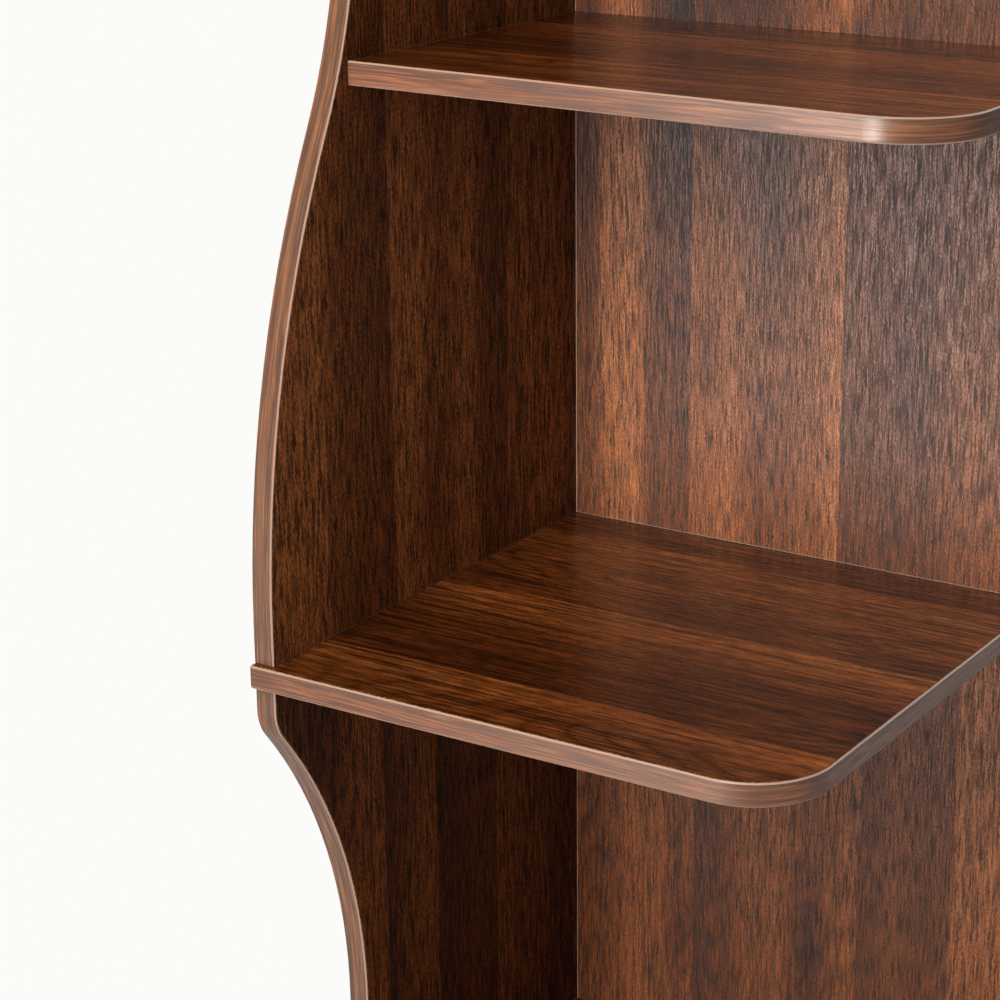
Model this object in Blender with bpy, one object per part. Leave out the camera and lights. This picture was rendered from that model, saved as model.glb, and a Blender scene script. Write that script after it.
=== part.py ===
"""Curved corner shelf, in metres, with +Z up.

Two bays stand on each other in a room's corner. In each bay a waved left panel and a
bellied back panel stand between two square cap boards and carry an inset shelf.
The pieces are drawn in the corner frame: the inner faces of the panels meet at x = 0 and
y = 0, +X runs along the back wall, -Y runs along the left wall and z = 0 is the floor.
"""

import math

import bmesh
import bpy
from mathutils import Matrix, Vector

# Boards, their glued edge strips and the clearance wherever two pieces meet
BOARD = 0.015
STRIP = 0.0015
STRIP_CHAMFER = 0.0009
EASED_CORNER = 0.001
GAP = 0.0003

# Square cap boards, from the inner corner to the free edges
CAP_REACH = 0.365
CAP_OVERHANG = 0.006
CORNER_RADIUS = 0.052

# Heights in a bay: cap top to shelf top, and shelf top to the next cap's top
SHELF_RISE = 0.365
SHELF_FALL = 0.399

# Inset shelves: the front edge runs on a slight slant from the left panel to the free end
SHELF_REACH = 0.404
SHELF_DEPTH_LEFT = 0.264
SHELF_DEPTH_RIGHT = 0.2745

# Wave of the left panels' front edge, upwards from the cap below
FOOT_RUN = 0.023
HIP_RADIUS = 0.679
WAIST_HEIGHT = 0.488
LOWER_WAIST = 0.272
UPPER_WAIST = 0.250
SHOULDER_RADIUS = 0.030
HEAD_RUN = 0.0165

# Belly of the back panels' free edge, which carries the shelf's end
BELLY_MARGIN = 0.008
BELLY_RADIUS = 0.560

# Cam locks in the panels' wall faces, and the bolts that they draw in
CAM_RADIUS = 0.0075
CAM_DEPTH = 0.0125
CAM_SETBACK = 0.034
CROSS_LENGTH = 0.008
CROSS_WIDTH = 0.0014
CROSS_DEPTH = 0.0012
BOLT_SHANK = 0.0035
BOLT_NECK = 0.0022
BOLT_THREAD = 0.0025
BOLT_GRIP = 0.011
BOLT_HEAD = 0.0045
BOLT_PAST_AXIS = 0.003

# Countersunk assembly screws, through the base board and from the panels' wall faces
SCREW_LENGTH = 0.050
SCREW_SHANK = 0.0035
SCREW_CORE = 0.0028
SCREW_HEAD = 0.005
SCREW_RIM = 0.0015
SCREW_CONE = 0.002
SCREW_POINT = 0.005
SCREW_SUNK = 0.0004
HEX_RADIUS = 0.0023
HEX_DEPTH = 0.003

# Where fasteners stand along a wall, from the inner corner, and how far from a panel's ends
NEAR_FASTENER = 0.060
FAR_FASTENER = 0.300
LEFT_SHELF_SCREW_NEAR = 0.060
LEFT_SHELF_SCREW_FAR = 0.200
BACK_SHELF_SCREW_NEAR = 0.080
BACK_SHELF_SCREW_FAR = 0.320
CORNER_SCREW_END = 0.120

# Glides under the base board
GLIDE_RADIUS = 0.011
GLIDE_HEIGHT = 0.008
GLIDE_TAPER = 0.002
GLIDE_STEM = 0.003
GLIDE_STEM_LENGTH = 0.009
GLIDE_INSET = 0.040

# Facets: how far a flat may stand inside its arc, and the sides of small turned pieces
ARC_SAG = 0.00009
CAM_SIDES = 16
BOLT_SIDES = 8
SCREW_SIDES = 10
HEX_SIDES = 6
GLIDE_SIDES = 20
WELD = 0.00001
SMOOTH_ANGLE = math.radians(30)

# Sizes that follow
BAY = SHELF_RISE + SHELF_FALL
PANEL_FOOT = GAP
PANEL_HEAD = BAY - BOARD - GAP
PANEL_REACH = CAP_REACH - CAP_OVERHANG
BELLY_REACH = SHELF_REACH + BELLY_MARGIN
BASE_UNDERSIDE = GLIDE_HEIGHT + GAP
BASE_TOP = BASE_UNDERSIDE + BOARD
MID_TOP = BASE_TOP + BAY
TOP_TOP = MID_TOP + BAY
CORE_INSET = STRIP + GAP
EDGE_RADIUS = CORE_INSET + EASED_CORNER
MID_PLANE = BOARD / 2
OVERCUT = BOARD
WIDTH_MIDDLE = (max(CAP_REACH, BELLY_REACH) - BOARD) / 2
DEPTH_MIDDLE = (BOARD - CAP_REACH) / 2

UP = Vector((0, 0, 1))
DOWN = -UP

# Each wall: its name, the way along it from the inner corner, and the way out of its wall face
LEFT_WALL = ("left", Vector((0, -1, 0)), Vector((-1, 0, 0)))
BACK_WALL = ("back", Vector((1, 0, 0)), Vector((0, 1, 0)))
WALLS = (LEFT_WALL, BACK_WALL)
END_FASTENERS = {"near": NEAR_FASTENER, "far": FAR_FASTENER}
SHELF_SCREWS = {
    "left": {"near": LEFT_SHELF_SCREW_NEAR, "far": LEFT_SHELF_SCREW_FAR},
    "back": {"near": BACK_SHELF_SCREW_NEAR, "far": BACK_SHELF_SCREW_FAR},
}


# Places


def on_wall(wall, floor):
    """A function that places (along, up, out) of a wall above a floor height."""
    _, along, out = wall
    return lambda a, u, o: along * a + UP * (floor + u) + out * o


def on_level(floor):
    """A function that places (x, y, up) above a floor height."""
    return lambda x, y, u: Vector((x, y, floor + u))


def standing(foot, direction, facing=None):
    """The matrix that stands a piece drawn along +Z on a foot, its +X turned to where it faces."""
    facing = facing or direction.orthogonal().normalized()
    turn = Matrix((facing, direction.cross(facing), direction)).transposed()
    return Matrix.Translation(foot) @ turn.to_4x4()


# Meshes and objects


def finish(name, colour, roughness, metallic=0.0):
    """A plain material with the piece's colour, roughness and metallic value."""
    material = bpy.data.materials.new(name)
    material.use_nodes = True
    shader = material.node_tree.nodes["Principled BSDF"]
    shader.inputs["Base Color"].default_value = (*colour, 1.0)
    shader.inputs["Roughness"].default_value = roughness
    shader.inputs["Metallic"].default_value = metallic
    return material


def to_mesh(name, solid, material=None):
    """Turns a bmesh into a mesh whose round faces are shaded smooth."""
    mesh = bpy.data.meshes.new(name)
    bmesh.ops.recalc_face_normals(solid, faces=solid.faces)
    solid.to_mesh(mesh)
    solid.free()
    mesh.shade_smooth()
    mesh.set_sharp_from_angle(angle=SMOOTH_ANGLE)
    if material:
        mesh.materials.append(material)
    return mesh


def add_object(name, mesh, place=None):
    """Hangs a mesh on the corner frame."""
    thing = bpy.data.objects.new(name, mesh)
    thing.parent = corner_frame
    if place:
        thing.matrix_local = place
    bpy.context.scene.collection.objects.link(thing)
    return thing


def cut(thing, name, cutter):
    """Takes a cutter's solids out of an object."""
    tool = add_object(name, to_mesh(name, cutter))
    tool.hide_render = True
    tool.display_type = "WIRE"
    boolean = thing.modifiers.new(name, "BOOLEAN")
    boolean.operation = "DIFFERENCE"
    boolean.solver = "EXACT"
    boolean.object = tool
    return tool


def carved_mesh(name, solid, cutter, material):
    """The mesh of a small piece with its cutter's solids taken out, for copies to share."""
    thing = add_object(name, to_mesh(name, solid, material))
    tool = cut(thing, name + "_cutter", cutter)
    graph = bpy.context.evaluated_depsgraph_get()
    mesh = bpy.data.meshes.new_from_object(thing.evaluated_get(graph))
    bpy.data.objects.remove(thing)
    bpy.data.objects.remove(tool)
    return mesh


def raise_face(solid, outline, through):
    """Adds a prism: a flat outline, extruded along a vector."""
    face = solid.faces.new([solid.verts.new(point) for point in outline])
    raised = bmesh.ops.extrude_face_region(solid, geom=[face])["geom"]
    corners = [item for item in raised if isinstance(item, bmesh.types.BMVert)]
    bmesh.ops.translate(solid, verts=corners, vec=through)


def add_turned(solid, profile, sides, place=None):
    """Adds a turned solid: profile lists (radius, distance along the axis) from axis to axis."""
    turned = bmesh.new()
    points = [turned.verts.new((radius, 0, distance)) for radius, distance in profile]
    lines = [turned.edges.new(pair) for pair in zip(points, points[1:])]
    bmesh.ops.spin(
        turned, geom=points + lines, axis=UP, cent=(0, 0, 0), steps=sides, angle=math.tau
    )
    bmesh.ops.remove_doubles(turned, verts=turned.verts, dist=WELD)
    bmesh.ops.recalc_face_normals(turned, faces=turned.faces)
    if place:
        turned.transform(place)
    carrier = bpy.data.meshes.new("carrier")
    turned.to_mesh(carrier)
    turned.free()
    solid.from_mesh(carrier)
    bpy.data.meshes.remove(carrier)


def rod(radius, start, end):
    """The profile of a plain cylinder between two distances along its axis."""
    return [(0, start), (radius, start), (radius, end), (0, end)]


# Outlines


def sweep_angles(turn, radius):
    """Angles from 0 to turn, close enough that no flat stands more than ARC_SAG inside the arc."""
    steps = max(2, math.ceil(turn / (2 * math.acos(1 - ARC_SAG / radius))))
    return [turn * step / steps for step in range(steps + 1)]


def arc(centre, radius, start, turn):
    """Points of a circular arc that turns anticlockwise, both ends included."""
    angles = [start + angle for angle in sweep_angles(turn, radius)]
    return [(centre[0] + radius * math.cos(a), centre[1] + radius * math.sin(a)) for a in angles]


def s_bend(tight, loose, tight_radius):
    """Two tangent arcs between two upright runs: the loose end takes the radius that is left."""
    across = loose[0] - tight[0]
    along = loose[1] - tight[1]
    loose_radius = (across**2 + along**2) / (2 * abs(across)) - tight_radius
    turn = 2 * math.atan2(abs(across), abs(along))
    side = math.copysign(1, across)
    way = math.copysign(1, along)
    points = []
    for angle in sweep_angles(turn, tight_radius):
        aside = side * tight_radius * (1 - math.cos(angle))
        points.append((tight[0] + aside, tight[1] + way * tight_radius * math.sin(angle)))
    for angle in reversed(sweep_angles(turn, loose_radius)[:-1]):
        aside = side * loose_radius * (1 - math.cos(angle))
        points.append((loose[0] - aside, loose[1] - way * loose_radius * math.sin(angle)))
    return points


def inset(path, distance):
    """The path moved to its left by a distance, with mitred corners."""
    points = [Vector(point) for point in path]
    headings = [(b - a).normalized() for a, b in zip(points, points[1:])]
    moved = []
    for index, point in enumerate(points):
        before = headings[max(index - 1, 0)]
        after = headings[min(index, len(headings) - 1)]
        middle = (before + after).normalized()
        left = Vector((-middle.y, middle.x))
        moved.append(point + left * (distance / middle.dot(after)))
    return moved


def cap_path():
    """A cap's strip: its left end, the eased corner, the front, the round corner and the side."""
    eased_centre = (-BOARD + EDGE_RADIUS, -CAP_REACH + EDGE_RADIUS)
    round_centre = (CAP_REACH - CORNER_RADIUS, -CAP_REACH + CORNER_RADIUS)
    path = [(-BOARD, BOARD)]
    path += arc(eased_centre, EDGE_RADIUS, math.pi, math.pi / 2)
    path += arc(round_centre, CORNER_RADIUS, -math.pi / 2, math.pi / 2)
    path += [(CAP_REACH, BOARD)]
    return path


def shelf_path():
    """An inset shelf's strip: the slanted front edge, the round corner and the free end."""
    slope = (SHELF_DEPTH_RIGHT - SHELF_DEPTH_LEFT) / SHELF_REACH
    slant = math.atan(slope)
    centre_x = SHELF_REACH - CORNER_RADIUS
    centre_y = -SHELF_DEPTH_LEFT - slope * centre_x + CORNER_RADIUS / math.cos(slant)
    path = [(GAP, -SHELF_DEPTH_LEFT - slope * GAP)]
    path += arc((centre_x, centre_y), CORNER_RADIUS, -math.pi / 2 - slant, math.pi / 2 + slant)
    path += [(SHELF_REACH, -GAP)]
    return path


def left_panel_path(waist):
    """The left panel's front edge, upwards: hip, waist and shoulder."""
    waist_point = (waist, WAIST_HEIGHT)
    hip = s_bend((PANEL_REACH, FOOT_RUN), waist_point, HIP_RADIUS)
    shoulder = s_bend((PANEL_REACH, PANEL_HEAD - HEAD_RUN), waist_point, SHOULDER_RADIUS)
    return [(PANEL_REACH, PANEL_FOOT)] + hip + shoulder[-2::-1] + [(PANEL_REACH, PANEL_HEAD)]


def back_panel_path():
    """The back panel's free edge, upwards: out to the belly at the shelf and in again."""
    belly = (BELLY_REACH, SHELF_RISE)
    rise = s_bend(belly, (PANEL_REACH, FOOT_RUN), BELLY_RADIUS)
    fall = s_bend(belly, (PANEL_REACH, PANEL_HEAD - HEAD_RUN), BELLY_RADIUS)
    return [(PANEL_REACH, PANEL_FOOT)] + rise[::-1] + fall[1:] + [(PANEL_REACH, PANEL_HEAD)]


# Boards and their strips


def edge_strip(path, place):
    """A glued strip along a board's free edge, with its two outer corners trimmed."""
    solid = bmesh.new()
    rings = []
    for outer, shoulder, inner in zip(path, inset(path, STRIP_CHAMFER), inset(path, STRIP)):
        section = [
            place(*inner, 0),
            place(*inner, BOARD),
            place(*shoulder, BOARD),
            place(*outer, BOARD - STRIP_CHAMFER),
            place(*outer, STRIP_CHAMFER),
            place(*shoulder, 0),
        ]
        rings.append([solid.verts.new(point) for point in section])
    for ring, next_ring in zip(rings, rings[1:]):
        for side, corner in enumerate(ring):
            other = (side + 1) % len(ring)
            solid.faces.new((corner, ring[other], next_ring[other], next_ring[side]))
    solid.faces.new(rings[0])
    solid.faces.new(rings[-1])
    return solid


def add_board(name, path, closing, place, material):
    """A board and its strip: the strip follows the path, and the closing points finish the outline."""
    outline = [place(*point, 0) for point in inset(path, CORE_INSET)]
    outline += [place(*point, 0) for point in closing]
    core = bmesh.new()
    raise_face(core, outline, place(0, 0, BOARD) - place(0, 0, 0))
    strip_name = name + "_edge_strip"
    add_object(strip_name, to_mesh(strip_name, edge_strip(path, place), strip_finish))
    return add_object(name, to_mesh(name, core, material))


def end_holes(profile, face, direction):
    """Holes for the panels' end fasteners, from a face of a cap board."""
    holes = bmesh.new()
    for wall in WALLS:
        for along in END_FASTENERS.values():
            foot = on_wall(wall, face)(along, 0, MID_PLANE)
            add_turned(holes, profile, SCREW_SIDES, standing(foot, direction))
    return holes


def make_cap(name, underside, holes):
    """A square cap board with the holes for what fastens it."""
    cap = add_board(name, cap_path(), [], on_level(underside), board_finish)
    cut(cap, name + "_holes", holes)


def make_caps():
    """The base board on its glides, the middle board between the bays and the top board."""
    base_holes = end_holes(screw_hole_profile(), BASE_TOP, DOWN)
    stem_hole = rod(GLIDE_STEM + GAP, -OVERCUT, GLIDE_STEM_LENGTH + GAP)
    for foot in glide_feet().values():
        add_turned(base_holes, stem_hole, SCREW_SIDES, standing(foot + UP * BASE_UNDERSIDE, UP))
    make_cap("base_board", BASE_UNDERSIDE, base_holes)
    through_hole = rod(BOLT_THREAD + GAP, -OVERCUT, BOARD + OVERCUT)
    make_cap("mid_board", MID_TOP - BOARD, end_holes(through_hole, MID_TOP - BOARD, UP))
    blind_hole = rod(BOLT_THREAD + GAP, -OVERCUT, BOLT_GRIP + GAP)
    make_cap("top_board", TOP_TOP - BOARD, end_holes(blind_hole, TOP_TOP - BOARD, UP))


def make_panel(name, wall, floor, path, closing, screwed_foot):
    """An upright panel with its strip, cam pockets, end bores and screw holes."""
    side, _, out = wall
    place = on_wall(wall, floor)
    panel = add_board(name, path, closing, place, panel_finish)
    pockets = bmesh.new()
    bores = bmesh.new()
    for along in END_FASTENERS.values():
        foot = place(along, PANEL_FOOT, MID_PLANE)
        head = place(along, PANEL_HEAD, MID_PLANE)
        add_cam_cuts(pockets, bores, head, DOWN, out)
        if screwed_foot:
            add_turned(bores, screw_pilot_profile(), SCREW_SIDES, standing(foot, DOWN))
        else:
            add_cam_cuts(pockets, bores, foot, UP, out)
    for along in SHELF_SCREWS[side].values():
        hole = place(along, SHELF_RISE - MID_PLANE, 0)
        add_turned(pockets, screw_hole_profile(), SCREW_SIDES, standing(hole, out))
    for foot, way_out in corner_screw_feet(floor).values():
        if wall is LEFT_WALL:
            add_turned(pockets, screw_hole_profile(), SCREW_SIDES, standing(foot, way_out))
        else:
            add_turned(bores, screw_pilot_profile(), SCREW_SIDES, standing(foot, way_out))
    cut(panel, name + "_pockets", pockets)
    cut(panel, name + "_bores", bores)


def make_shelf(name, floor):
    """An inset shelf, held by screws through both panels."""
    place = on_level(floor + SHELF_RISE - BOARD)
    shelf = add_board(name, shelf_path(), [(GAP, -GAP)], place, board_finish)
    pilots = bmesh.new()
    for foot, out in shelf_screw_feet(floor).values():
        add_turned(pilots, screw_pilot_profile(), SCREW_SIDES, standing(foot, out))
    cut(shelf, name + "_pilots", pilots)


def make_bay(prefix, floor, waist, screwed_feet):
    """One bay above a cap's top: the two panels, the shelf and the screws between them."""
    left_closing = [(-BOARD, PANEL_HEAD), (-BOARD, PANEL_FOOT)]
    back_closing = [(GAP, PANEL_HEAD), (GAP, PANEL_FOOT)]
    left_path = left_panel_path(waist)
    make_panel(prefix + "_left_panel", LEFT_WALL, floor, left_path, left_closing, screwed_feet)
    make_panel(prefix + "_back_panel", BACK_WALL, floor, back_panel_path(), back_closing, screwed_feet)
    make_shelf(prefix + "_shelf", floor)
    for which, (foot, out) in shelf_screw_feet(floor).items():
        add_object(f"{prefix}_shelf_screw_{which}", screw_mesh, standing(foot, out))
    for which, (foot, out) in corner_screw_feet(floor).items():
        add_object(f"{prefix}_corner_screw_{which}", screw_mesh, standing(foot, out))


# Assembly screws: distances run out from the inner face of the board that the head sits in


def screw_solid():
    """An assembly screw: point, thread, shank and countersunk head."""
    head_top = BOARD - SCREW_SUNK
    cone_top = head_top - SCREW_RIM
    point = head_top - SCREW_LENGTH
    profile = [(0, point), (SCREW_CORE, point + SCREW_POINT), (SCREW_CORE, 0), (SCREW_SHANK, 0)]
    profile += [(SCREW_SHANK, cone_top - SCREW_CONE), (SCREW_HEAD, cone_top)]
    profile += [(SCREW_HEAD, head_top), (0, head_top)]
    solid = bmesh.new()
    add_turned(solid, profile, SCREW_SIDES)
    return solid


def hex_socket():
    """The hexagon socket in a screw's head."""
    floor = BOARD - SCREW_SUNK - HEX_DEPTH
    angles = [math.tau * corner / HEX_SIDES for corner in range(HEX_SIDES)]
    outline = [(HEX_RADIUS * math.cos(a), HEX_RADIUS * math.sin(a), floor) for a in angles]
    solid = bmesh.new()
    raise_face(solid, outline, UP * (HEX_DEPTH + OVERCUT))
    return solid


def screw_hole_profile():
    """The stepped hole for a screw through a board."""
    shank = SCREW_SHANK + GAP
    head = SCREW_HEAD + GAP
    cone_top = BOARD - SCREW_SUNK - SCREW_RIM - GAP
    profile = [(0, -OVERCUT), (shank, -OVERCUT), (shank, cone_top - SCREW_CONE), (head, cone_top)]
    return profile + [(head, BOARD + OVERCUT), (0, BOARD + OVERCUT)]


def screw_pilot_profile():
    """The blind hole for a screw's thread in the edge of the next board."""
    depth = SCREW_LENGTH + SCREW_SUNK - BOARD + GAP
    return rod(SCREW_CORE + GAP, -depth, OVERCUT)


def shelf_screw_feet(floor):
    """Where a shelf's screws cross the panels' inner faces, each with its way out."""
    feet = {}
    for wall in WALLS:
        side, _, out = wall
        for which, along in SHELF_SCREWS[side].items():
            feet[f"{side}_{which}"] = (on_wall(wall, floor)(along, SHELF_RISE - MID_PLANE, 0), out)
    return feet


def corner_screw_feet(floor):
    """Where the screws that join the two panels cross the left panel's inner face."""
    place = on_wall(LEFT_WALL, floor)
    heights = {"low": PANEL_FOOT + CORNER_SCREW_END, "high": PANEL_HEAD - CORNER_SCREW_END}
    return {which: (place(-MID_PLANE, height, 0), LEFT_WALL[2]) for which, height in heights.items()}


def make_base_screws():
    """The screws up through the base board into the lower panels."""
    for wall in WALLS:
        for which, along in END_FASTENERS.items():
            foot = on_wall(wall, BASE_TOP)(along, 0, MID_PLANE)
            add_object(f"base_screw_{wall[0]}_{which}", screw_mesh, standing(foot, DOWN))


# Cam locks and their bolts: a cam's foot lies in the middle of its panel's thickness


def cam_solid():
    """A cam disc."""
    solid = bmesh.new()
    floor = MID_PLANE - CAM_DEPTH + GAP
    add_turned(solid, rod(CAM_RADIUS - GAP, floor, MID_PLANE - GAP), CAM_SIDES)
    return solid


def cam_recesses():
    """What a cam has cut out: the way in for the bolt's head, and the cross for a driver."""
    solid = bmesh.new()
    way_in = rod(BOLT_SHANK + GAP, -BOLT_PAST_AXIS - GAP, CAM_RADIUS + OVERCUT)
    add_turned(solid, way_in, BOLT_SIDES, standing(Vector((0, 0, 0)), Vector((1, 0, 0))))
    long, short = CROSS_LENGTH / 2, CROSS_WIDTH / 2
    floor = MID_PLANE - GAP - CROSS_DEPTH
    quarter = [Vector((long, -short, floor)), Vector((long, short, floor)), Vector((short, short, floor))]
    quarter_turns = [Matrix.Rotation(turn * math.pi / 2, 3, "Z") for turn in range(4)]
    cross = [turn @ point for turn in quarter_turns for point in quarter]
    raise_face(solid, cross, UP * (CROSS_DEPTH + OVERCUT))
    return solid


def add_cam_cuts(pockets, bores, end, inward, out):
    """A panel's pocket for a cam and the bore for its bolt, from the panel's end inward."""
    pocket = rod(CAM_RADIUS, MID_PLANE - CAM_DEPTH, MID_PLANE + OVERCUT)
    add_turned(pockets, pocket, CAM_SIDES, standing(end + inward * CAM_SETBACK, out, -inward))
    bore = rod(BOLT_SHANK + GAP, -OVERCUT, CAM_SETBACK)
    add_turned(bores, bore, BOLT_SIDES, standing(end, inward, out))


def bolt_shank(sign):
    """A cam bolt's profile from the cap's face to its head: distances run with the sign."""
    reach = GAP + CAM_SETBACK + BOLT_PAST_AXIS
    neck_top = reach - BOLT_HEAD
    neck_foot = GAP + CAM_SETBACK - CAM_RADIUS
    steps = [(BOLT_SHANK, GAP), (BOLT_SHANK, neck_foot), (BOLT_NECK, neck_foot), (BOLT_NECK, neck_top)]
    steps += [(BOLT_SHANK, neck_top), (BOLT_SHANK, reach), (0, reach)]
    return [(radius, sign * distance) for radius, distance in steps]


def bolt_solid():
    """A cam bolt: its thread in the cap, its shank and head towards the cam."""
    solid = bmesh.new()
    thread = [(0, -BOLT_GRIP), (BOLT_THREAD, -BOLT_GRIP), (BOLT_THREAD, GAP)]
    add_turned(solid, thread + bolt_shank(1), BOLT_SIDES)
    return solid


def double_bolt_solid():
    """A bolt through the middle cap, with a head for a cam at both ends."""
    solid = bmesh.new()
    lower = [(radius, distance - BOARD) for radius, distance in bolt_shank(-1)]
    through = [(BOLT_THREAD, -BOARD - GAP), (BOLT_THREAD, GAP)]
    add_turned(solid, lower[::-1] + through + bolt_shank(1), BOLT_SIDES)
    return solid


def make_cam_joint(prefix, face, direction, bolt=None):
    """The cams of the panels on one face of a cap, and the bolts that stand on it."""
    for wall in WALLS:
        side, _, out = wall
        for which, along in END_FASTENERS.items():
            foot = on_wall(wall, face)(along, 0, MID_PLANE)
            centre = foot + direction * (GAP + CAM_SETBACK)
            add_object(f"{prefix}_cam_lock_{side}_{which}", cam_mesh, standing(centre, out, -direction))
            if bolt:
                add_object(f"{prefix}_cam_bolt_{side}_{which}", bolt, standing(foot, direction, out))


# Glides


def glide_feet():
    """Where the glides stand under the base board."""
    left = -BOARD + GLIDE_INSET
    right = CAP_REACH - GLIDE_INSET
    front = -CAP_REACH + GLIDE_INSET
    back = BOARD - GLIDE_INSET
    return {
        "front_left": Vector((left, front, 0)),
        "front_right": Vector((right, front, 0)),
        "back_left": Vector((left, back, 0)),
        "back_right": Vector((right, back, 0)),
    }


def glide_solid():
    """A plastic glide, pressed into the base board by its stem."""
    tip = GLIDE_HEIGHT + GLIDE_STEM_LENGTH
    profile = [(0, 0), (GLIDE_RADIUS - GLIDE_TAPER, 0), (GLIDE_RADIUS, GLIDE_TAPER)]
    profile += [(GLIDE_RADIUS, GLIDE_HEIGHT), (GLIDE_STEM, GLIDE_HEIGHT), (GLIDE_STEM, tip), (0, tip)]
    solid = bmesh.new()
    add_turned(solid, profile, GLIDE_SIDES)
    return solid


# The assembly

for old in list(bpy.data.objects):
    bpy.data.objects.remove(old)

corner_frame = bpy.data.objects.new("corner_frame", None)
corner_frame.location = (-WIDTH_MIDDLE, -DEPTH_MIDDLE, 0)
bpy.context.scene.collection.objects.link(corner_frame)

board_finish = finish("walnut_board", (0.085, 0.032, 0.014), 0.35)
panel_finish = finish("walnut_panel", (0.160, 0.062, 0.028), 0.45)
strip_finish = finish("walnut_edge_strip", (0.250, 0.125, 0.075), 0.40)
metal_finish = finish("zinc_plate", (0.560, 0.550, 0.520), 0.35, 1.0)
glide_finish = finish("black_plastic", (0.020, 0.020, 0.022), 0.50)

screw_mesh = carved_mesh("screw", screw_solid(), hex_socket(), metal_finish)
cam_mesh = carved_mesh("cam", cam_solid(), cam_recesses(), metal_finish)
bolt_mesh = to_mesh("bolt", bolt_solid(), metal_finish)
double_bolt_mesh = to_mesh("double_bolt", double_bolt_solid(), metal_finish)
glide_mesh = to_mesh("glide", glide_solid(), glide_finish)

make_caps()
make_bay("lower", BASE_TOP, LOWER_WAIST, screwed_feet=True)
make_bay("upper", MID_TOP, UPPER_WAIST, screwed_feet=False)

make_base_screws()
make_cam_joint("under_mid", MID_TOP - BOARD, DOWN)
make_cam_joint("over_mid", MID_TOP, UP, double_bolt_mesh)
make_cam_joint("top", TOP_TOP - BOARD, DOWN, bolt_mesh)
for where, glide_foot in glide_feet().items():
    add_object("glide_" + where, glide_mesh, standing(glide_foot, UP))
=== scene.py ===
"""Looks of the curved corner shelf: walnut foil, edge strips, fittings, studio and camera."""

import math

import bpy
from mathutils import Matrix, Vector


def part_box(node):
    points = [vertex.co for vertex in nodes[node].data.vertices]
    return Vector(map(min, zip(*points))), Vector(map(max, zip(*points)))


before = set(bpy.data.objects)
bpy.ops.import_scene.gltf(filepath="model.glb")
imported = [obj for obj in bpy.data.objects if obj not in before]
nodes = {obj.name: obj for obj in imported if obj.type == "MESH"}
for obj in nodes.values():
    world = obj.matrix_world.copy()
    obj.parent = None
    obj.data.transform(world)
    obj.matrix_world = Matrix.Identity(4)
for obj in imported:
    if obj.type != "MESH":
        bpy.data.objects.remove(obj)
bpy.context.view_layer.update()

# Lengths and places are in metres, and colours in linear light.

# The inner corner, where the two panels' faces meet
INNER_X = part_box("upper_left_panel")[1].x
INNER_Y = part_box("upper_back_panel")[0].y
MIDDLE_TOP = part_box("mid_board")[1].z

# Camera of the photograph, in the part's frame, with its lens and sensor in millimetres
CAMERA_PLACE = (0.76956, -1.38951, 1.40018)
CAMERA_YAW = math.radians(31.225)
CAMERA_PITCH = math.radians(18.164)
CAMERA_ROLL = math.radians(0.045)
CAMERA_SENSOR = 36
CAMERA_LENS = 95.133
CAMERA_SHIFT = -0.09885

# The key softbox high in front of the shelf, a low one, and a card that only the gloss shows. Powers are in
# watts, and all three face the shelf's axis at the aim's height.
KEY_PLACE = (-0.15, -1.95, 2.20)
KEY_SIZE = (0.9, 1.6)
KEY_POWER = 96
FRONT_PLACE = (-0.16, -1.93, 0.82)
FRONT_SIZE = (0.52, 0.40)
FRONT_POWER = 20
CARD_PLACE = (-0.53, -1.93, 0.52)
CARD_SIZE = (0.7, 0.36)
CARD_POWER = 21
LIGHT_AIM = 1.0
LIGHT_COLOUR = (1.0, 0.98, 0.95)

# Surroundings: white in the camera's eye, bright behind and above the shelf, less so to its right, dim
# elsewhere. The bright part rises between two values of the direction's product with its aim.
BACKGROUND = (0.965, 0.968, 0.945, 1)
AMBIENT = 0.12
RIGHT = 0.28
BACKDROP = 2.0
BACKDROP_AIM = (0.0, 0.8, 0.6)
BACKDROP_RISE = (0.7, 0.9)

# Floor: a pale disc that fades into the white surroundings between two distances from the shelf's axis
FLOOR_RADIUS = 4.0
FLOOR_SIDES = 96
FLOOR_FADE = (0.5, 0.95)
FLOOR_COLOUR = (0.62, 0.62, 0.61, 1)
# Share of the white that the gloss of the shelf sees in the floor
FLOOR_GLOSS = 0.20

# Walnut from its darkest tone to its palest
WALNUT = (
    (0.00, (0.014, 0.0042, 0.0018)),
    (0.25, (0.064, 0.0145, 0.0028)),
    (0.50, (0.160, 0.0415, 0.0078)),
    (0.75, (0.315, 0.0985, 0.0260)),
    (1.00, (0.500, 0.2000, 0.0780)),
)

# Raw particle board, where the surface turns away from the foil's face
CHIPS = ((0.30, (0.16, 0.085, 0.040)), (0.50, (0.36, 0.23, 0.12)), (0.70, (0.50, 0.35, 0.21)))
CHIP_WAVES = 420
FOIL_FACING = (0.5, 0.7)

# The pale line along a cut edge, partly the foil's pale cut arris and partly a painted highlight, and the
# distances from the edge over which it fades
PALE_ARRIS_AND_HIGHLIGHT = (0.50, 0.36, 0.27, 1)
ARRIS = (0.0007, 0.0012)
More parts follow.
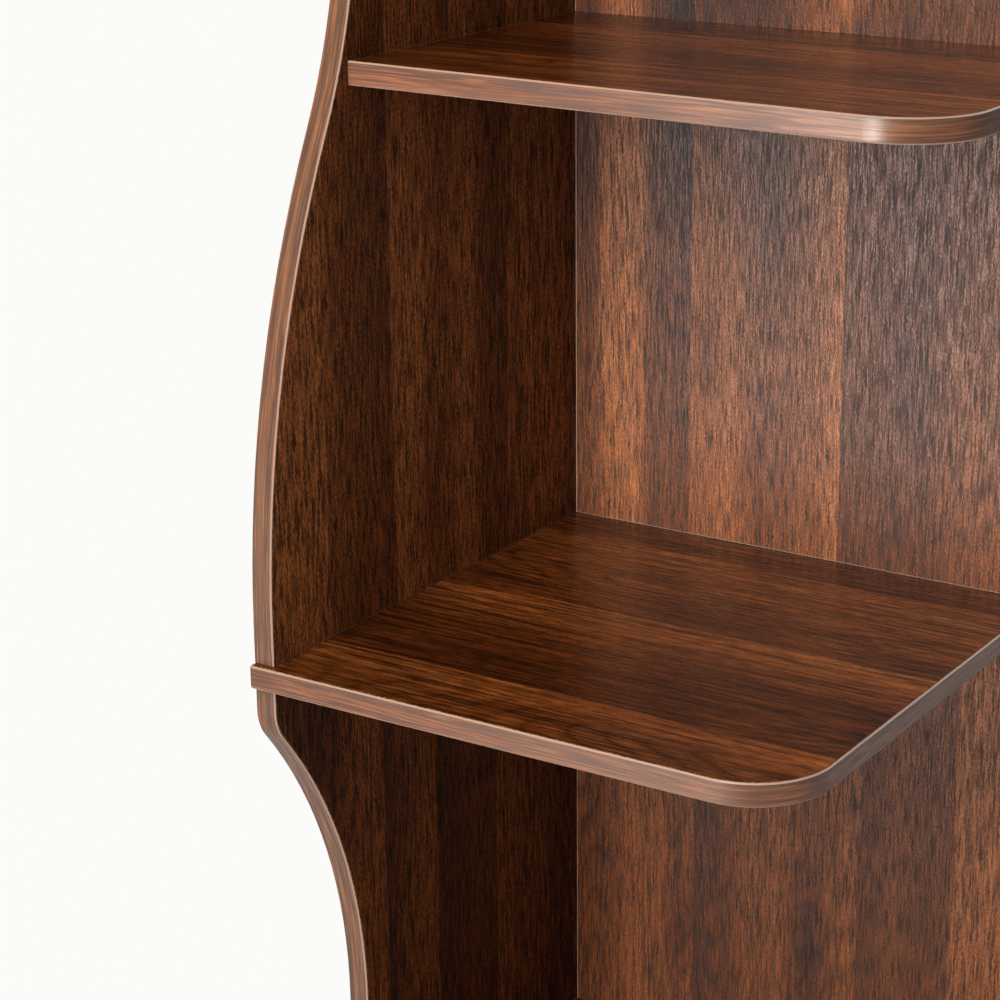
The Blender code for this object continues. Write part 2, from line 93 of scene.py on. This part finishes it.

# Printed foils. Places are taken across the grain from the inner corner, and along it from the middle
# board's top on a panel and from the left panel on a board. Joints part the planks, tones run from 0, dark,
# to 1, pale, and each figure is (across, along, half width, half length, tone added at its middle). The
# broad dark figures high on the upper panels, under the shelf and in the inner corner, and the broad one on
# the shelf by the left panel are painted shade. Edges name the direction that starts at a cut edge with a
# pale line, partly painted highlight, and the line's strength.
UPPER_BACK = {
    "seed": 1,
    "joints": (0.020, 0.094, 0.213),
    "tones": (
        (0.000, 0.56), (0.0198, 0.58), (0.020, 0.68), (0.048, 0.74), (0.066, 0.44), (0.0938, 0.37),
        (0.094, 0.63), (0.125, 0.65), (0.152, 0.52), (0.172, 0.50), (0.190, 0.60), (0.2128, 0.72),
        (0.213, 0.38), (0.265, 0.38), (0.300, 0.39), (0.345, 0.42), (0.412, 0.36),
    ),
    "figures": (
        (0.107, 0.140, 0.009, 0.030, -0.22), (0.160, 0.250, 0.014, 0.060, -0.11),
        (0.325, 0.060, 0.030, 0.120, 0.13), (0.025, 0.140, 0.005, 0.050, 0.12),
        # The three dark figures on the next two lines, high up under the shelf and in the inner corner, are
        # painted shade.
        (0.121, 0.370, 0.040, 0.130, -0.35), (0.080, 0.360, 0.030, 0.090, -0.15),
        (0.008, 0.300, 0.014, 0.130, -0.24), (0.330, 0.330, 0.050, 0.110, 0.08),
    ),
    "edges": (("across", 0.6), ("along", 0.25)),
}
LOWER_BACK = {
    "seed": 11,
    "joints": (0.102, 0.237, 0.310),
    "tones": (
        (0.000, 0.52), (0.022, 0.42), (0.045, 0.57), (0.075, 0.59), (0.1018, 0.51), (0.102, 0.31),
        (0.124, 0.37), (0.142, 0.54), (0.170, 0.56), (0.205, 0.45), (0.2368, 0.56), (0.237, 0.40),
        (0.265, 0.48), (0.3098, 0.42), (0.310, 0.69), (0.345, 0.68), (0.412, 0.52),
    ),
    "figures": ((0.090, -0.320, 0.010, 0.035, -0.22), (0.195, -0.300, 0.014, 0.045, -0.16)),
    "edges": (("across", 0.4),),
}
UPPER_LEFT = {
    "seed": 21,
    "joints": (0.090, 0.225, 0.2975),
    "tones": (
        (0.000, 0.40), (0.040, 0.48), (0.0898, 0.52), (0.090, 0.29), (0.118, 0.36), (0.135, 0.60),
        (0.165, 0.50), (0.195, 0.60), (0.2248, 0.62), (0.225, 0.36), (0.260, 0.39), (0.2973, 0.45),
        (0.2975, 0.62), (0.330, 0.59), (0.360, 0.50),
    ),
    # The second figure, broad and high up under the shelf, is painted shade.
    "figures": ((0.185, 0.060, 0.016, 0.090, -0.14), (0.185, 0.300, 0.055, 0.130, -0.11)),
    "edges": (("along", 0.12),),
}
LOWER_LEFT = {
    "seed": 31,
    "joints": (0.110, 0.184, 0.245),
    "tones": (
        (0.000, 0.40), (0.030, 0.44), (0.070, 0.54), (0.1098, 0.58), (0.110, 0.38), (0.150, 0.42),
        (0.1838, 0.36), (0.184, 0.60), (0.215, 0.54), (0.2448, 0.36), (0.245, 0.62), (0.285, 0.58),
        (0.300, 0.40), (0.360, 0.46),
    ),
    "figures": ((0.200, -0.220, 0.012, 0.080, 0.10),),
    "edges": (),
}
CAP_TOP = {
    "seed": 41,
    "joints": (0.041, 0.165, 0.303),
    "tones": (
        (0.000, 0.45), (0.030, 0.44), (0.0408, 0.38), (0.041, 0.64), (0.085, 0.60), (0.120, 0.51),
        (0.1648, 0.42), (0.165, 0.70), (0.190, 0.62), (0.230, 0.39), (0.3026, 0.32), (0.3028, 0.72),
        (0.3050, 0.64), (0.325, 0.62), (0.340, 0.44), (0.365, 0.52),
    ),
    "figures": ((0.132, 0.185, 0.016, 0.055, -0.12), (0.090, 0.135, 0.010, 0.025, -0.12)),
    "edges": (),
}
SHELF_TOP = {
    "seed": 51,
    "joints": (0.060, 0.187),
    "tones": (
        (0.000, 0.48), (0.0598, 0.48), (0.060, 0.68), (0.095, 0.64), (0.130, 0.50), (0.1868, 0.48),
        (0.187, 0.66), (0.220, 0.60), (0.275, 0.48),
    ),
    # The second figure, broad and by the left panel, is painted shade.
    "figures": ((0.150, 0.215, 0.018, 0.060, -0.10), (0.130, 0.000, 0.200, 0.110, -0.19)),
    "edges": (("across", 0.2), ("along", 0.2)),
}
# Width that a foil's row of tones spans
TONE_SPAN = 0.42

# Looks of the foils: embossed panels, and smoother boards with longer grooves and more gloss. The tone is
# added to the foil's own. It is painted light and shade on copies of the one walnut foil: lower on the
# panels under the middle board, higher on the upper left panel, which stands in shade, and lower on the
# boards' tops, there partly painted shade and partly their own darker foil. Streaks, grooves and pores are
# each (strength, waves per metre across the grain, waves along it), and the strengths of grooves and pores
# are also how far they darken the colour, partly painted shade. The wiggle of the grooves is (sway, waves
# across, waves along). Lines and emboss are the strengths of the growth lines and of the bump, and the
# roughness is that of grooves and of ridges.
PANEL_LOOK = {
    "tone": -0.01, "streaks": (0.08, 42, 2.8), "lines": 0.16, "grooves": (0.84, 960, 48),
    "wiggle": (0.0008, 400, 260), "pores": (0.40, 900, 460), "emboss": 0.45, "roughness": (0.70, 0.40),
    "specular": 0.53,
}
LEFT_LOOK = {
    # The upper left panel's higher tone is painted light: the panel stands in shade.
    **PANEL_LOOK, "tone": 0.08, "streaks": (0.08, 36, 2.6), "grooves": (0.86, 660, 48),
    "wiggle": (0.0011, 280, 250), "pores": (0.48, 620, 440), "specular": 0.18,
}
# The lower left panel's lower tone is painted shade under the middle board.
LOWER_LEFT_LOOK = {**LEFT_LOOK, "tone": -0.135, "specular": 0.15}
# The lower back panel's lower tone is painted shade under the middle board.
LOWER_BACK_LOOK = {**PANEL_LOOK, "tone": -0.04, "specular": 0.33}
# The boards' lower tones are partly painted shade and partly their own darker foil.
CAP_LOOK = {
    "tone": -0.125, "streaks": (0.08, 70, 3.0), "lines": 0.20, "grooves": (0.74, 440, 13),
    "wiggle": (0.0007, 160, 120), "pores": (0.46, 420, 80), "emboss": 0.05, "roughness": (0.28, 0.26),
    "specular": 0.35,
}
SHELF_LOOK = {
    **CAP_LOOK, "tone": -0.17, "grooves": (0.54, 200, 7), "wiggle": (0.0012, 60, 55),
    "pores": (0.40, 180, 40), "specular": 0.20,
}

# How noise draws the grain of every foil. Each plank lies a step further on in the noise. Waves are per
# metre, across the grain and along it, and a range is the stretch of the noise over which an effect goes
# from one end to the other. A ridge's crest is brightened by the gain, a painted highlight that also raises
# its bump.
PLANK_STEP = 7.31
STREAK_NOISE = {"detail": 4, "roughness": 0.6, "distortion": 0.4}
STREAK_RANGE = (0.28, 0.72)
WIGGLE_RANGE = (0.25, 0.75)
GROOVE_DETAIL = 1
GROOVE_RANGE = (0.30, 0.68)
RIDGE_GAIN = 1.35
PORE_RANGE = (0.42, 0.62)
# Growth lines: their phase in radians over the whole noise and at a figure's middle, the patches that they
# show in, the power that thins them, and the share of their strength on the pale side
GROWTH_WAVES = (8, 1.6)
GROWTH_DETAIL = 1.5
GROWTH_PHASE = 130
FIGURE_PHASE = 9.0
LINE_PATCHES = (14, 2.2)
LINE_PATCH_RANGE = (0.40, 0.62)
LINE_POWER = 0.5
LINE_PALE_SHARE = 0.3
# The relief over which the roughness goes from that of grooves to that of ridges, and the bump's depth
RELIEF_RANGE = (0.3, 1)
EMBOSS_DEPTH = 0.0004

# Bands across the edge strips, as shares of their width: from below on a board, and from the left or the
# front on a panel
LEVEL_STRIP = (
    (0.05, (0.131, 0.051, 0.026)), (0.30, (0.109, 0.040, 0.020)), (0.48, (0.157, 0.055, 0.021)),
    (0.62, (0.122, 0.043, 0.018)), (0.70, (0.085, 0.035, 0.020)), (0.95, (0.097, 0.041, 0.024)),
)
UPRIGHT_STRIP = (
    (0.05, (0.064, 0.027, 0.0125)), (0.25, (0.074, 0.029, 0.0125)), (0.40, (0.116, 0.046, 0.0165)),
    (0.62, (0.098, 0.039, 0.0155)), (0.72, (0.064, 0.028, 0.0145)), (0.95, (0.074, 0.033, 0.017)),
)
# Grain of the strips, each layer as (seed, waves per metre across the strip, waves along it). The drift
# shifts the bands by a share of the width, and the other two layers darken and lighten them.
STRIP_DRIFT = (1.7, 260, 4)
STRIP_BANDS = (5.2, 380, 5)
STRIP_FIBRES = (9.4, 950, 28)
DRIFT = 0.16
DRIFT_RANGE = (0.3, 0.7)
BAND_DEPTH = 0.4
FIBRE_DEPTH = 0.7
DARK_RANGE = (0.48, 0.66)
LIGHT_RANGE = (0.48, 0.32)
LIGHT_SHARE = 0.7
STRIP_DARK = (0.045, 0.020, 0.013, 1)
STRIP_LIGHT = (0.27, 0.110, 0.052, 1)
# The pale core on the trimmed corners, partly painted highlight, and the brown of the narrow sides, by how
# squarely a surface faces along the strip's width
PALE_CORE_AND_HIGHLIGHT = (0.30, 0.180, 0.126, 1)
CORE_FACING = (0.30, 0.55)
STRIP_SIDE = (0.10, 0.045, 0.025, 1)
SIDE_FACING = (0.85, 0.95)
# Gloss of the strips: the roughness over the fibres' range, and the fibres' bump (strength, depth)
FIBRE_RANGE = (0.35, 0.65)
STRIP_ROUGHNESS = (0.28, 0.42)
STRIP_BUMP = (0.10, 0.0002)
STRIP_SPECULAR = 0.42

# Fittings: zinc in two greys, and black plastic with a fine bump (strength, depth)
ZINC_NOISE = {"scale": 220, "detail": 4}
ZINC_RANGE = (0.3, 0.7)
ZINC = ((0.3, (0.42, 0.41, 0.38)), (0.7, (0.62, 0.61, 0.57)))
ZINC_ROUGHNESS = (0.28, 0.42)
PLASTIC_NOISE = {"scale": 1800, "detail": 2}
PLASTIC = ((0.3, (0.014, 0.014, 0.015)), (0.7, (0.030, 0.030, 0.032)))
PLASTIC_BUMP = (0.2, 0.0001)
PLASTIC_ROUGHNESS = 0.5

# Sharper than this, an edge of a solid stays an edge
SMOOTH_ANGLE = math.radians(30)
# Points closer than this are one point to the shading
WELD = 0.000005


class Graph:
    """Adds nodes to a node tree. An input, by place or by name, is a socket to link or a value to set."""

    def __init__(self, tree):
        self.tree = tree

    def add(self, kind, *inputs, out=0, **settings):
        node = self.tree.nodes.new(kind)
        named = settings.pop("named", {})
        for key, value in settings.items():
            setattr(node, key, value)
        for key, value in [*enumerate(inputs), *named.items()]:
            self.fill(node.inputs[key], value)
        return node.outputs[out]

    def fill(self, socket, value):
        if isinstance(value, bpy.types.NodeSocket):
            self.tree.links.new(value, socket)
        else:
            socket.default_value = value

    def end(self, kind, result):
        self.tree.links.new(result, self.tree.nodes.new(kind).inputs[0])

    def math(self, operation, *inputs):
        return self.add("ShaderNodeMath", *inputs, operation=operation)

    def vector(self, x, y, z):
        return self.add("ShaderNodeCombineXYZ", x, y, z)

    def split(self, vector):
        return self.add("ShaderNodeSeparateXYZ", vector).node.outputs

    def noise(self, vector, scale=1.0, detail=2.0, roughness=0.5, distortion=0.0):
        named = {"Vector": vector, "Scale": scale, "Detail": detail}
        named.update({"Roughness": roughness, "Distortion": distortion})
        return self.add("ShaderNodeTexNoise", named=named)

    def remap(self, value, low, high, to_low=0.0, to_high=1.0):
        return self.add("ShaderNodeMapRange", value, low, high, to_low, to_high)

    def bump(self, height, strength, depth):
        named = {"Strength": strength, "Distance": depth, "Height": height}
        return self.add("ShaderNodeBump", named=named)

    def ramp(self, value, stops):
        output = self.add("ShaderNodeValToRGB", value)
        ramp = output.node.color_ramp
        for index, (place, colour) in enumerate(stops):
            stop = ramp.elements[index] if index < 2 else ramp.elements.new(place)
            stop.position = place
            stop.color = (*colour, 1.0)
        return output

    def mix(self, factor, first, second):
        node = self.add("ShaderNodeMix", data_type="RGBA").node
        for key, value in (("Factor_Float", factor), ("A_Color", first), ("B_Color", second)):
            self.fill(next(item for item in node.inputs if item.identifier == key), value)
        return next(item for item in node.outputs if item.identifier == "Result_Color")


class Grain:
    """A foil's own frame: across the grain, along it, and the plank that a point lies in."""

    def __init__(self, graph, place, face, foil):
        self.graph = graph
        split = graph.split(place)
        from_left = graph.math("SUBTRACT", split["X"], INNER_X)
        from_back = graph.math("SUBTRACT", INNER_Y, split["Y"])
        from_board = graph.math("SUBTRACT", split["Z"], MIDDLE_TOP)
        self.across = from_left if face == "back" else from_back
        self.along = from_left if face == "level" else from_board
        seed = foil["seed"]
        for joint in foil["joints"]:
            seed = graph.math("ADD", seed, graph.math("GREATER_THAN", self.across, joint))
        self.plank = graph.math("MULTIPLY", seed, PLANK_STEP)

    def noise(self, waves_across, waves_along, shift=0.0, **settings):
        """Noise drawn out along the grain, different in each plank."""
        first = self.graph.math("MULTIPLY", self.graph.math("ADD", self.across, shift), waves_across)
        second = self.graph.math("MULTIPLY", self.along, waves_along)
        return self.graph.noise(self.graph.vector(first, second, self.plank), **settings)


def new_material(name):
    """An empty material with its graph."""
    material = bpy.data.materials.new(name)
    material.use_nodes = True
    material.node_tree.nodes.clear()
    return material, Graph(material.node_tree)


def close_material(graph, colour, roughness, normal=None, metallic=0.0, specular=0.5):
    """Ends a material's graph in a shader."""
    named = {"Base Color": colour, "Roughness": roughness, "Metallic": metallic}
    named["Specular IOR Level"] = specular
    if normal:
        named["Normal"] = normal
    graph.end("ShaderNodeOutputMaterial", graph.add("ShaderNodeBsdfPrincipled", named=named))


def own_place(graph):
    """A point's place in its object's frame."""
    return graph.add("ShaderNodeTexCoord", out="Object")


def along_axis(graph, axis):
    """How squarely the surface faces along an axis, from 0 to 1."""
    true_normal = graph.add("ShaderNodeNewGeometry", out="True Normal")
    return graph.math("ABSOLUTE", graph.split(true_normal)[axis])


def chip_colour(graph, place):
    """Raw particle board, as bare cut edges and holes show it."""
    named = {"Scale": CHIP_WAVES, "Randomness": 1.0}
    flakes = graph.add("ShaderNodeTexVoronoi", place, named=named, out="Color")
    return graph.ramp(graph.add("ShaderNodeRGBToBW", flakes), CHIPS)


def foil_tone(grain, foil, look):
    """The walnut's tone: planks, figures, streaks and growth lines, with painted shade in some figures and
    painted light and shade in the look's tone.
    """
    graph = grain.graph
    stops = [(at / TONE_SPAN, (tone, tone, tone)) for at, tone in foil["tones"]]
    tone = graph.ramp(graph.math("DIVIDE", grain.across, TONE_SPAN), stops)
    growth = graph.math("MULTIPLY", grain.noise(*GROWTH_WAVES, detail=GROWTH_DETAIL), GROWTH_PHASE)
    for at, run, width, length, added in foil["figures"]:
        first = graph.math("DIVIDE", graph.math("SUBTRACT", grain.across, at), width)
        second = graph.math("DIVIDE", graph.math("SUBTRACT", grain.along, run), length)
        square = graph.math("MULTIPLY", first, first)
        square = graph.math("ADD", square, graph.math("MULTIPLY", second, second))
        middle = graph.math("EXPONENT", graph.math("MULTIPLY", square, -1.0))
        tone = graph.math("ADD", tone, graph.math("MULTIPLY", middle, added))
        growth = graph.math("ADD", growth, graph.math("MULTIPLY", middle, FIGURE_PHASE))

    depth, *waves = look["streaks"]
    streaks = graph.remap(grain.noise(*waves, **STREAK_NOISE), *STREAK_RANGE, -depth, depth)
    lines = graph.math("POWER", graph.math("ABSOLUTE", graph.math("SINE", growth)), LINE_POWER)
    lines = graph.remap(lines, 0, 1, -look["lines"], look["lines"] * LINE_PALE_SHARE)
    patches = graph.remap(grain.noise(*LINE_PATCHES), *LINE_PATCH_RANGE)
    for part in (streaks, graph.math("MULTIPLY", lines, patches), look["tone"]):
        tone = graph.math("ADD", tone, part)
    return tone


def foil_relief(grain, look):
    """The embossed surface: winding ridges and grooves, broken by pores."""
    graph = grain.graph
    sway, *waves = look["wiggle"]
    wiggle = graph.remap(grain.noise(*waves), *WIGGLE_RANGE, -sway, sway)
    depth, *waves = look["grooves"]
    ridges = grain.noise(*waves, wiggle, detail=GROOVE_DETAIL)
    ridges = graph.remap(ridges, *GROOVE_RANGE, 1 - depth, RIDGE_GAIN)
    depth, *waves = look["pores"]
    pores = graph.remap(grain.noise(*waves), *PORE_RANGE, 1, 1 - depth)
    return graph.math("MULTIPLY", ridges, pores)


def foil_material(name, foil, face, look):
    """Printed walnut foil on a solid's broad faces, and raw particle board on the others."""
    material, graph = new_material(name)
    place = own_place(graph)
    grain = Grain(graph, place, face, foil)
    relief = foil_relief(grain, look)
    colour = graph.ramp(foil_tone(grain, foil, look), WALNUT)
    # The relief scales the colour: partly the print's dark grain, and partly painted shade in the grooves
    # and pores, with a painted highlight on the ridges' crests.
    colour = graph.add("ShaderNodeVectorMath", colour, operation="SCALE", named={"Scale": relief})
    distances = {"across": grain.across, "along": grain.along}
    # The pale line along the listed edges is partly painted highlight.
    for edge, strength in foil["edges"]:
        near = graph.remap(distances[edge], *ARRIS, strength, 0)
        colour = graph.mix(near, colour, PALE_ARRIS_AND_HIGHLIGHT)

    axis = {"back": "Y", "left": "X", "level": "Z"}[face]
    foiled = graph.remap(along_axis(graph, axis), *FOIL_FACING)
    colour = graph.mix(foiled, chip_colour(graph, place), colour)
    roughness = graph.remap(relief, *RELIEF_RANGE, *look["roughness"])
    normal = graph.bump(relief, look["emboss"], EMBOSS_DEPTH)
    close_material(graph, colour, roughness, normal, specular=look["specular"])
    return material


def strip_material(name, axis, shade):
    """Plastic edge strip: a printed grain on its face, a pale core at its trimmed corners that is partly
    painted highlight, and brown sides.
    """
    material, graph = new_material(name)
    coordinates = graph.add("ShaderNodeTexCoord").node.outputs
    split = graph.split(coordinates["Object"])
    share = graph.split(coordinates["Generated"])[axis]

    def stretched(seed, waves_across, waves_along):
        waves = {letter: waves_along for letter in "XYZ"}
        waves[axis] = waves_across
        point = [graph.math("MULTIPLY", split[letter], waves[letter]) for letter in "XYZ"]
        shift = (seed, seed, seed)
        return graph.noise(graph.add("ShaderNodeVectorMath", graph.vector(*point), shift, operation="ADD"))

    drift = graph.remap(stretched(*STRIP_DRIFT), *DRIFT_RANGE, -DRIFT, DRIFT)
    colour = graph.ramp(graph.math("ADD", share, drift), shade)
    bands = stretched(*STRIP_BANDS)
    fibres = stretched(*STRIP_FIBRES)
    for layer, depth in ((bands, BAND_DEPTH), (fibres, FIBRE_DEPTH)):
        colour = graph.mix(graph.remap(layer, *DARK_RANGE, 0, depth), colour, STRIP_DARK)
        colour = graph.mix(graph.remap(layer, *LIGHT_RANGE, 0, depth * LIGHT_SHARE), colour, STRIP_LIGHT)
    facing = along_axis(graph, axis)
    # The pale core on the trimmed corners is partly painted highlight.
    colour = graph.mix(graph.remap(facing, *CORE_FACING), colour, PALE_CORE_AND_HIGHLIGHT)
    colour = graph.mix(graph.remap(facing, *SIDE_FACING), colour, STRIP_SIDE)
    roughness = graph.remap(fibres, *FIBRE_RANGE, *STRIP_ROUGHNESS)
    close_material(graph, colour, roughness, graph.bump(fibres, *STRIP_BUMP), specular=STRIP_SPECULAR)
    return material


def metal_material():
    """Zinc-plated steel with faint blotches."""
    material, graph = new_material("zinc")
    blotches = graph.noise(own_place(graph), **ZINC_NOISE)
    roughness = graph.remap(blotches, *ZINC_RANGE, *ZINC_ROUGHNESS)
    close_material(graph, graph.ramp(blotches, ZINC), roughness, metallic=1.0)
    return material


def plastic_material():
    """Moulded black plastic with a fine grain."""
    material, graph = new_material("black_plastic")
    grain = graph.noise(own_place(graph), **PLASTIC_NOISE)
    close_material(graph, graph.ramp(grain, PLASTIC), PLASTIC_ROUGHNESS, graph.bump(grain, *PLASTIC_BUMP))
    return material


def smooth_shading():
    """A node group that shades a solid's arcs smooth and keeps its edges sharp."""
    tree = bpy.data.node_groups.new("smooth_shading", "GeometryNodeTree")
    tree.interface.new_socket("Geometry", in_out="INPUT", socket_type="NodeSocketGeometry")
    tree.interface.new_socket("Geometry", in_out="OUTPUT", socket_type="NodeSocketGeometry")
    graph = Graph(tree)
    solid = graph.add("NodeGroupInput")
    solid = graph.add("GeometryNodeRemoveAttribute", solid, named={"Name": "custom_normal"})
    solid = graph.add("GeometryNodeMergeByDistance", solid, named={"Distance": WELD})
    solid = graph.add("GeometryNodeSetShadeSmooth", solid, domain="FACE", named={"Shade Smooth": True})
    angle = graph.add("GeometryNodeInputMeshEdgeAngle")
    sharp = graph.math("GREATER_THAN", angle, SMOOTH_ANGLE)
    named = {"Selection": sharp, "Shade Smooth": False}
    solid = graph.add("GeometryNodeSetShadeSmooth", solid, domain="EDGE", named=named)
    graph.end("NodeGroupOutput", solid)
    return tree


def dress():
    """Gives every solid its finish."""
    foils = {
        "upper_back_panel": foil_material("upper_back_foil", UPPER_BACK, "back", PANEL_LOOK),
        "lower_back_panel": foil_material("lower_back_foil", LOWER_BACK, "back", LOWER_BACK_LOOK),
        "upper_left_panel": foil_material("upper_left_foil", UPPER_LEFT, "left", LEFT_LOOK),
        "lower_left_panel": foil_material("lower_left_foil", LOWER_LEFT, "left", LOWER_LEFT_LOOK),
    }
    cap = foil_material("cap_foil", CAP_TOP, "level", CAP_LOOK)
    shelf = foil_material("shelf_foil", SHELF_TOP, "level", SHELF_LOOK)
    strips = {
        "left_panel": strip_material("left_strip", "X", UPRIGHT_STRIP),
        "back_panel": strip_material("back_strip", "Y", UPRIGHT_STRIP),
        "level": strip_material("level_strip", "Z", LEVEL_STRIP),
    }
    metal = metal_material()
    plastic = plastic_material()
    smoothing = smooth_shading()
    for name, thing in nodes.items():
        if name.endswith("edge_strip"):
            kind = next((kind for kind in strips if kind in name), "level")
            material = strips[kind]
        elif name.startswith("glide"):
            material = plastic
        elif "screw" in name or "cam" in name:
            material = metal
        elif name in foils:
            material = foils[name]
        else:
            material = cap if name.endswith("board") else shelf
        for slot in thing.material_slots:
            slot.material = material
        modifier = thing.modifiers.new("smooth_shading", "NODES")
        modifier.node_group = smoothing


def seen_directly(graph):
    """1 for rays straight from the camera."""
    return graph.add("ShaderNodeLightPath", out="Is Camera Ray")


def make_floor():
    """A pale round floor that keeps the shadow and fades to white."""
    mesh = bpy.data.meshes.new("floor")
    turns = [math.tau * step / FLOOR_SIDES for step in range(FLOOR_SIDES)]
    rim = [(FLOOR_RADIUS * math.cos(turn), FLOOR_RADIUS * math.sin(turn), 0) for turn in turns]
    mesh.from_pydata(rim, [], [range(FLOOR_SIDES)])
    floor = bpy.data.objects.new("floor", mesh)
    bpy.context.scene.collection.objects.link(floor)
    material, graph = new_material("floor")
    distance = graph.add("ShaderNodeVectorMath", own_place(graph), operation="LENGTH", out="Value")
    far = graph.remap(distance, *FLOOR_FADE)
    glossy = graph.add("ShaderNodeLightPath", out="Is Glossy Ray")
    seen = graph.math("MULTIPLY_ADD", glossy, FLOOR_GLOSS, seen_directly(graph))
    white = graph.math("MULTIPLY", far, seen)
    pale = graph.add("ShaderNodeBsdfDiffuse", FLOOR_COLOUR)
    glow = graph.add("ShaderNodeEmission", BACKGROUND, 1.0)
    graph.end("ShaderNodeOutputMaterial", graph.add("ShaderNodeMixShader", white, pale, glow))
    mesh.materials.append(material)


def add_softbox(name, place, size, power, lights_all=True):
    """A soft rectangular light that faces the shelf."""
    light = bpy.data.lights.new(name, "AREA")
    light.shape = "RECTANGLE"
    light.size, light.size_y = size
    light.energy = power
    light.color = LIGHT_COLOUR
    lamp = bpy.data.objects.new(name, light)
    lamp.visible_diffuse = lights_all
    lamp.location = place
    aim = Vector((0, 0, LIGHT_AIM)) - lamp.location
    lamp.rotation_euler = aim.to_track_quat("-Z", "Y").to_euler()
    bpy.context.scene.collection.objects.link(lamp)


def make_studio():
    """White surroundings with a soft level of light, and the three softboxes."""
    world = bpy.data.worlds.new("studio")
    world.use_nodes = True
    world.node_tree.nodes.clear()
    bpy.context.scene.world = world
    graph = Graph(world.node_tree)
    direction = graph.add("ShaderNodeTexCoord", out="Generated")
    behind = graph.add(
        "ShaderNodeVectorMath", direction, BACKDROP_AIM, operation="DOT_PRODUCT", out="Value"
    )
    level = graph.remap(behind, *BACKDROP_RISE, AMBIENT, BACKDROP)
    level = graph.math("ADD", level, graph.remap(graph.split(direction)["X"], 0, 1, 0, RIGHT))
    ambient = graph.add("ShaderNodeBackground", (1, 1, 1, 1), level)
    white = graph.add("ShaderNodeBackground", BACKGROUND, 1.0)
    surface = graph.add("ShaderNodeMixShader", seen_directly(graph), ambient, white)
    graph.end("ShaderNodeOutputWorld", surface)

    add_softbox("key", KEY_PLACE, KEY_SIZE, KEY_POWER)
    add_softbox("front", FRONT_PLACE, FRONT_SIZE, FRONT_POWER)
    add_softbox("card", CARD_PLACE, CARD_SIZE, CARD_POWER, lights_all=False)


def make_camera():
    """The photograph's camera."""
    camera = bpy.data.cameras.new("camera")
    camera.sensor_width = CAMERA_SENSOR
    camera.lens = CAMERA_LENS
    camera.shift_x = CAMERA_SHIFT
    holder = bpy.data.objects.new("camera", camera)
    turn = Matrix.Rotation(CAMERA_YAW, 4, "Z") @ Matrix.Rotation(math.pi / 2 - CAMERA_PITCH, 4, "X")
    holder.matrix_world = Matrix.Translation(CAMERA_PLACE) @ turn @ Matrix.Rotation(CAMERA_ROLL, 4, "Z")
    bpy.context.scene.collection.objects.link(holder)
    bpy.context.scene.camera = holder


dress()
make_floor()
make_studio()
make_camera()
bpy.context.scene.view_settings.view_transform = "Standard"
